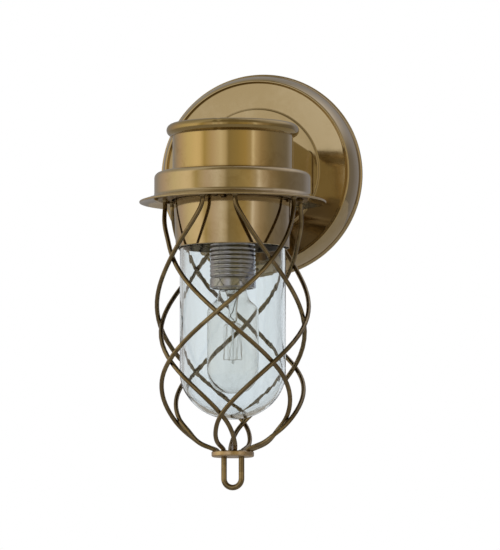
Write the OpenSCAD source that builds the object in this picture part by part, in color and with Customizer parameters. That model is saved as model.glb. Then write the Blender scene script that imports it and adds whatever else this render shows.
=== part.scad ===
// Wall-mounted brass ship lantern with a wire guard and a screw-in glass jar.
// Millimetres. The origin is the centre of the backplate on the wall plane, +Z is up,
// +Y points into the wall, and the lantern hangs out towards -Y.

/* [Backplate] */
// Radius of the backplate's rim on the wall
plate_r = 91; // [85:0.5:100]
// Radius of the flat face of the backplate
face_r = 80.5; // [76:0.5:83]
// Depth of the flat face in front of the wall
plate_depth = 27; // [24:0.5:32]
// Sheet thickness of the backplate
plate_wall = 1.5; // [1:0.1:2]
// Radius of the raised boss that carries the neck
boss_r = 57; // [54:0.5:60]
// Height of the boss above the backplate's face
boss_h = 2.5; // [2:0.1:4]
// Spacing of the two wall holes in the crossbar
wall_hole_spacing = 70; // [60:1:90]
// Radius of each wall hole
wall_hole_r = 2.6; // [2.1:0.1:3]

/* [Head] */
// Distance from the wall to the lantern's vertical axis
reach = 152; // [148:1:160]
// Outer radius of the head's cylinder
head_r = 52.5; // [50:0.5:54]
// Sheet thickness of the head, skirt and collar
sheet = 1.6; // [1.2:0.1:2]
// Height of the bead's centre line above the origin
bead_z = 24; // [22:0.5:26]
// Radius of the bead's round section
bead_tube_r = 5.4; // [5:0.1:6]
// Half the width of the neck
neck_half_w = 50.4; // [46:0.2:51]
// Top of the neck
neck_top = 18.4; // [16:0.2:18.4]
// Bottom of the neck
neck_bottom = -20.5; // [-22:0.5:-18]
// Outer radius of the skirt's upright band
skirt_r = 68.4; // [67:0.2:70]
// Outer radius of the brim
brim_r = 81.5; // [78:0.5:84]

/* [Collar and jar] */
// Outer radius of the collar where it leaves the head
collar_top_r = 51.7; // [51:0.1:52]
// Outer radius of the collar's lower edge
collar_low_r = 49.6; // [49:0.1:50]
// Height of the collar's lower edge
collar_low = -79; // [-81:0.5:-76]
// Outer radius of the glass jar
jar_r = 46.1; // [45:0.1:46.3]
// Thickness of the jar's glass
jar_wall = 2.5; // [2:0.1:3]
// Height where the jar's straight wall turns into its dome
jar_tangent = -187; // [-190:1:-184]
// Lowest point of the jar
jar_low = -228.3; // [-230:0.5:-226]

/* [Lamp] */
// Radius of the lampholder's barrel
holder_r = 20; // [19:0.5:21]
// Lower edge of the lampholder
holder_low = -114.4; // [-118:0.2:-112]
// Radius of the tubular bulb
bulb_r = 22.5; // [21:0.5:23]
// Lowest point of the bulb
bulb_low = -206.2; // [-208:0.2:-200]

/* [Guard] */
// Radius of each guard wire
wire_r = 2; // [1.8:0.1:2.1]
// Half the angle between the two wires of a pair at the guard's ring
pair_half_angle = 14; // [12:1:16]
// Radius of the guard's bottom disc
disc_r = 18.5; // [18:0.5:20]
// Height of the bottom disc's upper face
disc_top = -256.2; // [-258:0.2:-256]
// Thickness of the bottom disc
disc_h = 4.8; // [4:0.2:6]
// Lowest point of the bottom loop
loop_low = -290; // [-294:1:-286]
// Radius of the loop's rod
loop_rod_r = 2.5; // [2.2:0.1:2.8]
// Radius of the loop's round end, on the rod's centre line
loop_bend_r = 7.7; // [7:0.1:9]

/* [Hidden] */
$fn = 96;
clear = 0.3;               // gap between pieces that move apart
fit = 0.05;                // gap between pieces that only touch
tiny = 0.02;

// Names and order of the sub-parts
WIRES = [for (i = [1:8]) str("cage_wire_", i)];

brass = [0.62, 0.50, 0.30];
dark_brass = [0.45, 0.36, 0.20];
steel = [0.68, 0.68, 0.70];
rubber = [0.10, 0.10, 0.10];
clear_glass = [0.80, 0.88, 0.92, 0.35];
ceramic = [0.92, 0.90, 0.86];

// Backplate details
rim_h = 1;                 // the rim stands on the gasket
rim_top = 3.2;
flank_foot_r = 89;
crest_r = 82;
crest_h = plate_depth + 1;
cable_hole_r = 14;
neck_bolt_x = 34;
neck_bolt_r = 3;
cover_screw_h = 18;
cover_screw_r = 2;
pin_top = 86.2;            // end of the crossbar's pin, inside the backplate's upper hole
bar_w = 22;
bar_t = 2;
bar_end = 79;
boss_face = plate_depth + boss_h;

// Head details, heights above the origin
skirt_shoulder = -11.5;
skirt_edge = -13.2;
band_low = -33.5;
brim_low = -39.6;
floor_top = -31.5;
floor_t = 2;
floor_low = floor_top - floor_t;
floor_hole_r = 40;
strap_t = 2;
nipple_r = 5;
holder_top = -60;
thread_end = -106.8;
thread_pitch = 3.9;
thread_depth = 0.9;

// Guard ring, and the studs that hold it
ring_in = 53.2;
ring_out = 65.5;
washer_t = 0.8;
washer_gap = 0.15;
ring_top = floor_low - washer_t - 2 * washer_gap;
ring_t = 2.5;
ring_low = ring_top - ring_t;
ring_wire_r = 59;
stud_r = 1.8;
stud_head_r = 3;
stud_head_h = 1.6;
slot_half_w = 3.6;
slot_half_a = 3.9;         // room for a stud head at the end of its slot, in degrees
twist = 7;

// Guard wires: [height, radius, angle run round the axis] from the ring down to the disc
GUARD = [
    [ring_low, ring_wire_r, 0], [-46, 59.2, 1], [-58, 60.4, 7], [-72, 61.3, 16], [-90, 62.5, 29],
    [-110, 63.4, 46], [-140, 64.2, 76], [-181, 64.6, 120], [-204, 60.6, 143], [-227, 50, 165],
    [-241, 38.2, 176], [-249, 29.3, 181], [disc_top + wire_r, 17, 185], [disc_top, 15, 185.5]];
guard_turn = -2.3;         // the guard sits this far round from square to the wall
wire_sides = 8;
wire_steps = 4;            // rings per stretch of the guard's outline
cross_gap = wire_r + tiny; // each hand of wire runs this far off the guard's mean surface

jar_top = -52;
jar_thread_r = jar_r + 1.1;
jar_thread_pitch = 5;
jar_gasket_t = 2.5;
collar_in_top = collar_top_r - sheet;
collar_in_low = collar_low_r - sheet;

bulb_cap_top = -92;
bulb_neck_r = 14.6;
bulb_wall = 0.8;
shell_in = 13.6;
shell_out = 14.2;

// ---------- shared shapes ----------

module at_lamp() { translate([0, -reach, 0]) children(); }

// Turned shape whose axis is the wall's normal: profile x is the radius, y is the height off the wall
module wall_turned() { rotate([90, 0, 0]) rotate_extrude() children(); }

// Points of an arc, in a plane, from angle a0 to a1
function arc(cx, cy, rx, ry, a0, a1, n) =
    [for (i = [0:n]) let (a = a0 + (a1 - a0) * i / n) [cx + rx * cos(a), cy + ry * sin(a)]];

module ring(r_in, r_out, z_low, z_top) {
    translate([0, 0, z_low]) difference() {
        cylinder(r = r_out, h = z_top - z_low);
        translate([0, 0, -1]) cylinder(r = r_in, h = z_top - z_low + 2);
    }
}

module hex_prism(across_flats, h) { cylinder(r = across_flats / sqrt(3), h = h, $fn = 6); }

// Catmull-Rom value between b and c at t, with neighbours a and d
function spline(a, b, c, d, t) =
    0.5 * (2 * b + (c - a) * t + (2 * a - 5 * b + 4 * c - d) * t * t
        + (3 * b - a - 3 * c + d) * t * t * t);

// A smooth path through hand-placed points, with the given number of rings per stretch
function smooth_path(pts, steps) = let (n = len(pts) - 1) concat(
    [for (i = [0:n - 1]) for (k = [0:steps - 1])
        spline(pts[max(i - 1, 0)], pts[i], pts[i + 1], pts[min(i + 2, n)], k / steps)],
    [pts[n]]);

function unit(v) = v / norm(v);

// Tube swept along a path; the first and last rings are square to first_dir and last_dir
module swept_tube(path, r, sides, first_dir, last_dir) {
    n = len(path);
    function dir(i) = i == 0 ? first_dir : i == n - 1 ? last_dir : unit(path[i + 1] - path[i - 1]);
    function side(i, ref) = unit(ref - (ref * dir(i)) * dir(i));
    ref = [0.31, 0.95, 0.02];
    points = [for (i = [0:n - 1]) let (u = side(i, ref), w = cross(dir(i), u))
        for (j = [0:sides - 1]) path[i] + r * (cos(360 * j / sides) * u + sin(360 * j / sides) * w)];
    faces = concat(
        [[for (j = [0:sides - 1]) j]],
        [for (i = [0:n - 2]) for (j = [0:sides - 1]) let (k = (j + 1) % sides)
            [i * sides + j, (i + 1) * sides + j, (i + 1) * sides + k, i * sides + k]],
        [[for (j = [sides - 1:-1:0]) (n - 1) * sides + j]]);
    polyhedron(points = points, faces = faces, convexity = 6);
}

// ---------- wall side ----------

// Outline of the backplate's skin; inset moves it inwards and back by one sheet thickness
function plate_outline(inset) = concat(
    [[0, rim_h - (inset > 0 ? 1 : 0)], [plate_r - inset, rim_h - (inset > 0 ? 1 : 0)]],
    inset > 0 ? [] : [[plate_r, rim_top - 0.8]],
    arc(flank_foot_r - inset - 9, rim_top, 9, crest_h - rim_top - 2 - inset, 0, 44, 6),
    arc(crest_r - 0.6 - inset, crest_h - 2.2 - inset, 2.4, 2.2, 20, 90, 5),
    [[face_r - inset, plate_depth - inset], [0, plate_depth - inset]]);

module backplate() {
    color(brass) difference() {
        wall_turned() difference() {
            polygon(plate_outline(0));
            polygon(plate_outline(plate_wall));
        }
        translate([0, -plate_depth - 5, 0]) rotate([-90, 0, 0]) cylinder(r = cable_hole_r, h = 10);
        neck_bolt_holes();
        for (s = [0, 1]) mirror([0, 0, s]) translate([0, -cover_screw_h, 70])
            cylinder(r = cover_screw_r + fit, h = 30);
    }
}

module neck_bolt_holes() {
    for (s = [-1, 1]) translate([s * neck_bolt_x, -plate_depth - 8, 0])
        rotate([-90, 0, 0]) cylinder(r = neck_bolt_r + fit, h = 16);
}

module neck_base() {
    edge = 1.2;
    color(brass) difference() {
        translate([0, 0, 1]) wall_turned() polygon(concat(
            [[0, plate_depth + tiny], [boss_r, plate_depth + tiny]],
            arc(boss_r - edge, boss_face - edge, edge, edge, 0, 90, 5),
            [[0, boss_face]]));
        translate([0, -boss_face - 5, 0]) rotate([-90, 0, 0]) cylinder(r = cable_hole_r, h = 10);
        neck_bolt_holes();
    }
}

module wall_bracket() {
    tab_h = 24;
    color(steel) difference() {
        union() {
            translate([-bar_w / 2, -bar_t, -bar_end]) cube([bar_w, bar_t, 2 * bar_end]);
            for (s = [-1, 1]) translate([-6, -tab_h, s * (bar_end - bar_t / 2) - bar_t / 2])
                cube([12, tab_h, bar_t]);
            translate([0, -cover_screw_h, bar_end - 1])
                cylinder(r = cover_screw_r, h = pin_top - bar_end + 1);
        }
        for (s = [-1, 1]) translate([0, -bar_t - 5, s * wall_hole_spacing / 2])
            rotate([-90, 0, 0]) cylinder(r = wall_hole_r, h = 15);
        translate([0, -bar_t - 5, 0]) rotate([-90, 0, 0]) cylinder(r = 8, h = 15);
        translate([0, -cover_screw_h, -bar_end - 5]) cylinder(r = cover_screw_r + fit, h = 10);
        translate([6, -bar_t - 5, 54]) rotate([-90, 0, 0]) cylinder(r = 2 + fit, h = 15);
    }
}

module wall_gasket() {
    color(rubber) wall_turned() translate([82, 0]) square([8, rim_h - tiny]);
}

module cover_screw() {
    seat = 88;
    color(dark_brass) mirror([0, 0, 1]) translate([0, -cover_screw_h, 0]) difference() {
        union() {
            translate([0, 0, 74]) cylinder(r = cover_screw_r, h = seat - 74 + 0.5);
            translate([0, 0, seat]) cylinder(r1 = 3.6, r2 = 2.6, h = 2);
        }
        translate([-0.5, -5, seat + 1.1]) cube([1, 10, 2]);
    }
}

module earth_screw() {
    color(brass) translate([6, 0, 54]) rotate([90, 0, 0]) difference() {
        union() {
            translate([0, 0, 0.2]) cylinder(r = 2, h = bar_t + 1);
            translate([0, 0, bar_t + tiny]) cylinder(r = 4.4, h = 0.8);
            translate([0, 0, bar_t + 0.7]) cylinder(r = 3.5, h = 2.6);
        }
        translate([-5, -0.5, bar_t + 2.3]) cube([10, 1, 2]);
    }
}

module terminal_block() {
    color([0.9, 0.89, 0.85]) translate([0, -bar_t - tiny, -56]) difference() {
        translate([-13, -13, -8]) cube([26, 13, 16]);
        for (x = [-8, 0, 8]) translate([x, -6.5, -20]) cylinder(r = 2, h = 40);
        for (x = [-8, 0, 8]) for (z = [-4, 4]) translate([x, -20, z]) rotate([-90, 0, 0])
            cylinder(r = 1.7, h = 13.5);
        for (x = [-4, 4]) translate([x - 0.6, -14, -9]) cube([1.2, 4, 18]);
    }
}

module terminal_screws() {
    color(steel) for (x = [-8, 0, 8]) for (z = [-4, 4])
        translate([x, -bar_t - 12, z - 56]) rotate([-90, 0, 0]) difference() {
            cylinder(r = 1.6, h = 3.4);
            translate([-0.3, -2, -1]) cube([0.6, 4, 1.6]);
        }
}

// ---------- neck ----------

// Rectangle with rounded upper corners, drawn in x and z
function neck_outline(inset) = let (w = neck_half_w - inset, t = neck_top - inset,
        b = neck_bottom + inset, c = 4 - inset / 2) concat(
    [[-w, b], [w, b]], arc(w - c, t - c, c, c, 0, 90, 6), arc(-w + c, t - c, c, c, 90, 180, 6));

module neck_block(inset, y_front, y_back) {
    translate([0, y_back, 0]) rotate([90, 0, 0]) linear_extrude(height = y_back - y_front)
        polygon(neck_outline(inset));
}

module neck() {
    back_t = 2.5;
    back = -boss_face - tiny;
    color(brass) difference() {
        neck_block(0, -reach, back);
        neck_block(sheet, -reach - 1, back - back_t);
        translate([0, -reach, -60]) cylinder(r = head_r + fit, h = 120);
        translate([0, back - 5, 0]) rotate([-90, 0, 0]) cylinder(r = cable_hole_r, h = 10);
        for (s = [-1, 1]) translate([s * neck_bolt_x, back - 5, 0])
            rotate([-90, 0, 0]) cylinder(r = neck_bolt_r + fit, h = 10);
    }
}

module neck_bolts() {
    head_h = 4;
    head_face = plate_depth - plate_wall - tiny;
    color(steel) for (s = [-1, 1]) translate([s * neck_bolt_x, 0, 0]) rotate([90, 0, 0]) {
        translate([0, 0, head_face - head_h]) hex_prism(10, head_h);
        translate([0, 0, head_face - 0.5]) cylinder(r = neck_bolt_r, h = 16);
    }
}

module neck_nuts() {
    color(steel) for (s = [-1, 1]) translate([s * neck_bolt_x, -boss_face - 2.6, 0]) rotate([90, 0, 0])
        difference() {
            hex_prism(10, 5);
            translate([0, 0, -1]) cylinder(r = neck_bolt_r + fit, h = 7);
        }
}

// ---------- head ----------

module head_shell() {
    color(brass) at_lamp() difference() {
        ring(head_r - sheet, head_r, floor_top + tiny, bead_z);
        translate([-40, 20, -12]) cube([80, 60, 24]);
    }
}

module head_cap() {
    cap_r = head_r - sheet - fit;
    rise = 6;
    big = (cap_r * cap_r + rise * rise) / (2 * rise);
    color(brass) at_lamp() difference() {
        intersection() {
            translate([0, 0, bead_z - 3 + rise - big]) sphere(r = big, $fn = 180);
            translate([0, 0, bead_z - 3]) cylinder(r = cap_r, h = 20);
        }
        translate([0, 0, bead_z - 3 + rise - big]) sphere(r = big - sheet, $fn = 180);
    }
}

module bead_ring() {
    color(brass) at_lamp() difference() {
        translate([0, 0, bead_z]) rotate_extrude() translate([head_r, 0]) circle(r = bead_tube_r);
        ring(head_r - sheet - fit, head_r + fit, bead_z - 10, bead_z + fit);
        translate([0, 0, bead_z - 10]) cylinder(r = head_r - sheet + fit, h = 12);
    }
}

// Sheet outline from the shoulder over the upright band to the edge of the brim
module skirt_profile() {
    corner = 5;
    polygon(concat(
        [[head_r + fit, skirt_shoulder], [skirt_r - corner - 1, skirt_edge]],
        arc(skirt_r - corner, skirt_edge - corner, corner, corner, 80, 0, 6),
        [[skirt_r, band_low + 2]],
        arc(skirt_r + 4, band_low + 2, 4, 4, 180, 238, 5),
        [[brim_r - 0.8, brim_low + 1.7]],
        arc(brim_r - 0.8, brim_low + 0.8, 0.8, 0.8, 80, -100, 6),
        [[skirt_r + 1, band_low - 2.2]],
        arc(skirt_r + 4, band_low + 2, 4 + sheet, 4 + sheet, 238, 180, 5),
        [[skirt_r - sheet, skirt_edge - corner]],
        arc(skirt_r - corner, skirt_edge - corner, corner - sheet, corner - sheet, 0, 80, 6),
        [[skirt_r - corner - 1, skirt_edge - sheet], [head_r + fit, skirt_shoulder - sheet]]));
}

module skirt() {
    color(brass) difference() {
        at_lamp() rotate_extrude() skirt_profile();
        neck_block(-fit * 2, -reach + 10, -20);
    }
}

module head_floor() {
    color(dark_brass) at_lamp() difference() {
        ring(floor_hole_r, skirt_r - sheet - fit, floor_low, floor_top);
        for (a = [0:90:270]) rotate(a) translate([ring_wire_r, 0, floor_low - 1])
            cylinder(r = stud_r + fit, h = 5);
        for (a = [30:120:270]) rotate(a) translate([45, 0, floor_low - 1]) cylinder(r = 1.6 + fit, h = 5);
        for (x = [-44, 44]) translate([x, 0, floor_low - 1]) cylinder(r = 1.6 + fit, h = 5);
    }
}

module collar() {
    top = floor_low - tiny;
    flange_in = 41.5;
    lip = 0.9;
    seat = jar_top + jar_gasket_t + clear;
    seat_in = jar_r - jar_wall;
    color(brass) at_lamp() difference() {
        rotate_extrude() polygon(concat(
            [[flange_in, top], [collar_top_r, top], [collar_low_r, collar_low + lip]],
            arc(collar_low_r - lip, collar_low + lip, lip, lip, -10, -90, 4),
            [[collar_in_low, collar_low], [collar_in_low, collar_low + 6],
             [collar_in_top - 1.4, seat], [seat_in, seat], [seat_in, seat + 1.8],
             [collar_in_top - 0.6, seat + 1.8], [collar_in_top - 0.4, top - 2], [flange_in, top - 2]]));
        for (a = [30:120:270]) rotate(a) translate([45, 0, top - 5]) cylinder(r = 1.6 + fit, h = 8);
        for (x = [-44, 44]) translate([x, 0, top - 5]) cylinder(r = 1.6 + fit, h = 8);
    }
}

module collar_screws() {
    color(steel) at_lamp() for (a = [30:120:270]) rotate(a) translate([45, 0, 0]) {
        translate([0, 0, floor_low - 3.2]) cylinder(r = 1.6, h = 6.4);
        difference() {
            translate([0, 0, floor_low - 2 - 0.06 - 1.8]) cylinder(r = 2.8, h = 1.8);
            translate([-0.4, -4, floor_low - 5.4]) cube([0.8, 8, 2.2]);
        }
        translate([0, 0, floor_top + fit]) hex_prism(5.5, 2.4);
    }
}

module collar_seal() {
    color(rubber) at_lamp() ring(jar_r + 0.15, collar_in_low - tiny, collar_low + 0.2, collar_low + 4);
}

module cage_studs() {
    color(dark_brass) at_lamp() for (a = [0:90:270]) rotate(a) translate([ring_wire_r, 0, 0]) difference() {
        union() {
            translate([0, 0, ring_low - 0.6]) cylinder(r = stud_r, h = floor_top - ring_low + 2);
            translate([0, 0, ring_low - 0.5 - stud_head_h]) cylinder(r = stud_head_r, h = stud_head_h);
            translate([0, 0, floor_top + fit]) hex_prism(6, 2);
        }
        translate([-4, -0.4, ring_low - 0.5 - stud_head_h - 1]) cube([8, 0.8, 1.7]);
    }
}

// ---------- lampholder ----------

module holder_strap() {
    top = floor_top + tiny;
    color(steel) at_lamp() difference() {
        union() {
            for (s = [-1, 1]) translate([s * 43.5 - 5.5, -7, top]) cube([11, 14, strap_t]);
            translate([-43.5, -7, top]) cube([87, 14, strap_t]);
        }
        translate([0, 0, top - 1]) cylinder(r = nipple_r + fit, h = 5);
        for (x = [-44, 44]) translate([x, 0, top - 1]) cylinder(r = 1.6 + fit, h = 5);
    }
}

module holder_nipple() {
    color(steel) at_lamp() ring(3.5, nipple_r, holder_top - 2, floor_top + strap_t + 9);
}

module nipple_nuts() {
    color(steel) at_lamp() for (z = [floor_top - 4.1, floor_top + strap_t + 0.1]) translate([0, 0, z])
        difference() {
            hex_prism(14, 4);
            translate([0, 0, -1]) cylinder(r = nipple_r + fit, h = 6);
        }
}

module lampholder_shell() {
    turns = 10;
    wall = 1.2;
    color(steel) at_lamp() difference() {
        union() {
            translate([0, 0, holder_low])
                cylinder(r = holder_r - thread_depth, h = holder_top - 8 - holder_low);
            translate([0, 0, holder_top - 8 - tiny]) cylinder(r1 = holder_r - thread_depth, r2 = 9, h = 8);
            for (i = [0:turns - 1]) translate([0, 0, thread_end + i * thread_pitch]) rotate_extrude()
                polygon([[holder_r - 3, 0], [holder_r - thread_depth, 0], [holder_r, 1.2],
                         [holder_r, thread_pitch - 1.6], [holder_r - thread_depth, thread_pitch - 0.5],
                         [holder_r - 3, thread_pitch - 0.5]]);
            rotate_extrude() polygon(concat([[holder_r - 3, holder_low], [holder_r - 1.2, holder_low]],
                arc(holder_r - 1.2, holder_low + 1.5, 1.2, 1.5, -90, 0, 4),
                [[holder_r, thread_end - 1.4], [holder_r - 3, thread_end - 1]]));
        }
        translate([0, 0, holder_low - 1])
            cylinder(r = holder_r - thread_depth - wall, h = holder_top - 10 - holder_low);
        translate([0, 0, holder_top - 20]) cylinder(r = nipple_r + fit, h = 30);
    }
}

module lampholder_insert() {
    low = holder_low + 1.5;
    color(ceramic) at_lamp() difference() {
        translate([0, 0, low]) cylinder(r = holder_r - thread_depth - 1.25, h = holder_top - 12 - low);
        translate([0, 0, low - 1]) cylinder(r = shell_out + fit, h = bulb_cap_top + 3.5 - low);
        translate([0, 0, holder_top - 16]) cylinder(r = nipple_r + 3, h = 10);
        for (x = [-7, 7]) translate([x, 0, holder_top - 40]) cylinder(r = 1.6, h = 40);
        translate([0, 0, bulb_cap_top - 5]) cylinder(r = 4, h = 10);
    }
}

module screw_shell() {
    color(dark_brass) at_lamp() ring(shell_in, shell_out, holder_low + 4, bulb_cap_top + 2);
}

module centre_contact() {
    z0 = bulb_cap_top + clear + 0.1;
    color(brass) at_lamp() {
        translate([0, 0, z0]) cylinder(r = 3, h = 1.2);
        translate([-1.5, -1.5, z0 + 1]) cube([3, 3, 3.4]);
    }
}

// ---------- wiring ----------

// Leads run from the terminal block through the neck and the strap's nipple
function lead_path(x, end_z) = smooth_path([
    [x, -bar_t - 6.5, -51], [x, -bar_t - 6.5, -42], [x * 0.8, -14, -14], [x * 0.5, -26, 0],
        [x * 0.5, -44, 2],
    [x * 0.5, -90, 2], [x * 0.5, -132, -2], [x * 0.2, -150, -6], [x * 0.2, -reach, -16],
    [x * 0.2, -reach, -30], [x * 0.2, -reach, end_z]], 3);

module live_lead() {
    color([0.45, 0.25, 0.12]) swept_tube(lead_path(-8, holder_top - 4), 1.15, 8, [0, 0, 1], [0, 0, -1]);
}

module neutral_lead() {
    color([0.12, 0.25, 0.6]) swept_tube(lead_path(8, holder_top - 4), 1.15, 8, [0, 0, 1], [0, 0, -1]);
}

module earth_lead() {
    path = smooth_path([[9.8, -bar_t - 4.4, 58.5], [8, -15, 52], [3, -22, 30], [0.2, -26, 8], [0, -44, 6],
        [0, -90, 7], [6, -118, 4], [14, -134, -7], [20, -146, -17], [22, -reach, -24],
            [22, -reach, -29.4]], 3);
    color([0.35, 0.6, 0.15]) swept_tube(path, 1.15, 8, [0, 0, -1], [0, 0, -1]);
}

// ---------- bulb ----------

module bulb_tip() {
    color([0.15, 0.15, 0.16]) at_lamp() translate([0, 0, bulb_cap_top - 2.4]) {
        cylinder(r1 = 11, r2 = 6, h = 1.7);
        translate([0, 0, 1.6]) cylinder(r1 = 4.8, r2 = 3.5, h = 0.8);
    }
}

module bulb_cap() {
    low = holder_low - 1;
    n = 6;
    pitch = 3.63;
    top = bulb_cap_top - 2.5;
    color(steel) at_lamp() difference() {
        union() {
            translate([0, 0, low]) cylinder(r = 12.4, h = top - low);
            for (i = [0:n - 2]) translate([0, 0, top - 2 - (i + 1) * pitch]) rotate_extrude()
                polygon([[10, 0.3], [12.4, 0.3], [13.2, 1.4], [13.2, 2.2], [12.4, 3.3], [10, 3.3]]);
        }
        translate([0, 0, low - 1]) cylinder(r = 11.6, h = top - low - 0.6);
    }
}

// Outline of the bulb's envelope: neck, shoulder, straight tube and domed end
function bulb_outline(inset) = let (r = bulb_r - inset, neck_z = holder_low - 1.2, shoulder_z = neck_z - 15)
    concat([[0, neck_z], [11.4 - inset, neck_z], [bulb_neck_r - 2 - inset, neck_z - 2]],
        arc(bulb_neck_r - 2 - inset, shoulder_z, r - bulb_neck_r + 2 + inset, 12, 78, 0, 6),
        arc(0, bulb_low + 20, r, 20 - inset, 0, -90, 12));

module bulb_glass() {
    color(clear_glass) at_lamp() rotate_extrude() difference() {
        polygon(bulb_outline(0));
        translate([-tiny, -bulb_wall]) polygon(bulb_outline(bulb_wall));
    }
}

module bulb_stem() {
    z0 = holder_low - 2.2;
    color([0.85, 0.9, 0.92]) at_lamp() {
        translate([0, 0, z0 - 26]) cylinder(r1 = 2.4, r2 = 4, h = 25);
        translate([0, 0, z0 - 27.5]) sphere(r = 3, $fn = 32);
        translate([0, 0, z0 - 60]) cylinder(r = 0.9, h = 32);
    }
}

// Two support hoops and the long filament strands between them
module filament() {
    high = holder_low - 34;
    low = holder_low - 62;
    strands = 6;
    color([0.5, 0.45, 0.4]) at_lamp() {
        for (z = [high, low]) translate([0, 0, z]) {
            rotate_extrude() translate([8, 0]) circle(r = 0.45, $fn = 16);
            for (a = [0:120:240]) rotate(a) translate([1.2, 0, 0]) rotate([0, 90, 0])
                cylinder(r = 0.35, h = 6.7, $fn = 16);
        }
        for (i = [0:strands - 1]) rotate(i * 360 / strands + 20) translate([8, 0, low])
            cylinder(r = 0.4, h = high - low, $fn = 16);
    }
}

// ---------- jar ----------

// Outline from the axis over the open end and down to the lowest point; ribs are the glass thread
function jar_outline(inset, ribs) = concat(
    [[0, jar_top], [jar_r - inset, jar_top]],
    [for (i = [0:1:ribs - 1]) let (z = jar_top - 4 - i * jar_thread_pitch)
        for (p = [[jar_r, z + 1.6], [jar_thread_r, z + 0.6], [jar_thread_r, z - 0.6], [jar_r, z - 1.6]]) p],
    arc(0, jar_tangent, jar_r - inset, jar_tangent - jar_low - inset, 0, -90, 18));

module jar_gasket() {
    color(rubber) at_lamp() ring(jar_r - jar_wall, jar_r + 0.9, jar_top + 0.1, jar_top + jar_gasket_t);
}

module glass_jar() {
    color(clear_glass) at_lamp() rotate_extrude() difference() {
        polygon(jar_outline(0, 2));
        translate([-tiny, tiny]) polygon(jar_outline(jar_wall, 0));
    }
}

// ---------- guard ----------

module guard_washer() {
    color(rubber) at_lamp() ring(ring_in, 55, ring_top + washer_gap, ring_top + washer_gap + washer_t);
}

module cage_ring() {
    color(dark_brass) at_lamp() difference() {
        ring(ring_in, ring_out, ring_low, ring_top);
        for (a = [0:90:270]) rotate(a - twist - slot_half_a) rotate_extrude(angle = twist + 2 * slot_half_a)
            translate([ring_wire_r - slot_half_w, ring_low - 1]) square([2 * slot_half_w, ring_t + 2]);
    }
}

function ease(t) = t <= 0 ? 0 : t >= 1 ? 1 : t * t * (3 - 2 * t);

// Outward normal of the guard's outline at its ring i, as [radius, height]
function guard_normal(line, i) = let (a = line[max(i - 1, 0)], b = line[min(i + 1, len(line) - 1)])
    unit([a[0] - b[0], b[1] - a[1]]);

// hand is 1 for the wires that turn anticlockwise on the way down, seen from above, and -1 for the
// others; the two hands pass on either side of the guard's mean surface where they cross
function wire_path(hand, quarter) = let (line = smooth_path(GUARD, wire_steps),
    last = GUARD[len(GUARD) - 1][2])
    [for (i = [0:len(line) - 1]) let (s = line[i],
            a = 270 + guard_turn + 90 * quarter + hand * (pair_half_angle + s[2]),
            off = -hand * cross_gap * min(ease((s[2] - 2) / 18), ease((last - s[2]) / 14)),
            n = guard_normal(line, i), r = s[1] + off * n[0])
        [r * cos(a), r * sin(a), s[0] + off * n[1]]];

module cage_wire(i) {
    hand = i % 2 == 0 ? -1 : 1;
    color(dark_brass) at_lamp()
        swept_tube(wire_path(hand, floor(i / 2)), wire_r, wire_sides, [0, 0, -1], [0, 0, -1]);
}

module cage_disc() {
    edge = 1;
    color(brass) at_lamp() difference() {
        rotate_extrude() polygon(concat([[0, disc_top - disc_h]],
            arc(disc_r - edge, disc_top - disc_h + edge, edge, edge, -90, 0, 4),
            arc(disc_r - edge, disc_top - tiny - edge, edge, edge, 0, 90, 4),
            [[0, disc_top - tiny]]));
        for (s = [-1, 1]) translate([s * loop_bend_r, 0, disc_top - 20])
            cylinder(r = loop_rod_r + tiny, h = 40);
    }
}

module cage_loop() {
    bend_z = loop_low + loop_rod_r + loop_bend_r;
    color(brass) at_lamp() {
        translate([0, 0, bend_z]) rotate([90, 0, 0]) rotate([0, 0, 180]) rotate_extrude(angle = 180)
            translate([loop_bend_r, 0]) circle(r = loop_rod_r);
        for (s = [-1, 1]) translate([s * loop_bend_r, 0, bend_z]) {
            cylinder(r = loop_rod_r, h = disc_top + 1 - bend_z);
            translate([0, 0, disc_top + tiny - bend_z]) cylinder(r1 = 3.4, r2 = 2.6, h = 1.6);
        }
    }
}

backplate();
neck_base();
wall_bracket();
wall_gasket();
cover_screw();
earth_screw();
terminal_block();
terminal_screws();
neck();
neck_bolts();
neck_nuts();
head_shell();
head_cap();
bead_ring();
skirt();
head_floor();
collar();
collar_screws();
collar_seal();
cage_studs();
holder_strap();
holder_nipple();
nipple_nuts();
lampholder_shell();
lampholder_insert();
screw_shell();
centre_contact();
live_lead();
neutral_lead();
earth_lead();
bulb_tip();
bulb_cap();
bulb_glass();
bulb_stem();
filament();
jar_gasket();
glass_jar();
guard_washer();
cage_ring();
for (i = [0:7]) cage_wire(i);
cage_disc();
cage_loop();
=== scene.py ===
import math

import bmesh
import bpy
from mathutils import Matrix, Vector


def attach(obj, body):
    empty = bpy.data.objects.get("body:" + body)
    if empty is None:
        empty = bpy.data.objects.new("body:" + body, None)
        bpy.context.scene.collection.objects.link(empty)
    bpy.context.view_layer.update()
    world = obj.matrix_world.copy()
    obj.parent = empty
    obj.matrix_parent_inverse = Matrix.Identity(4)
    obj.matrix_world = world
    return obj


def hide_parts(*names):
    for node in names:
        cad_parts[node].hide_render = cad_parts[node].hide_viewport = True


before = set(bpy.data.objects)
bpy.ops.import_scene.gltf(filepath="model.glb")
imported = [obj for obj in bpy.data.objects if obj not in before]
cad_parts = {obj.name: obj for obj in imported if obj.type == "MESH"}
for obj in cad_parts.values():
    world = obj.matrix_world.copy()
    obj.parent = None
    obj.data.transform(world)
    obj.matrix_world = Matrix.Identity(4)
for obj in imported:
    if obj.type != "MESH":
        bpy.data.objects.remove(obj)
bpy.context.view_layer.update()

# Millimetres in the tables below; MM turns them into the frame's metres.
# The lantern's vertical axis stands AXIS in front of the wall plane, which is y = 0.
MM = 0.001
AXIS = -152.0
PI = math.pi
SEGMENTS = 192


# ---------- node trees ----------

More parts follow.
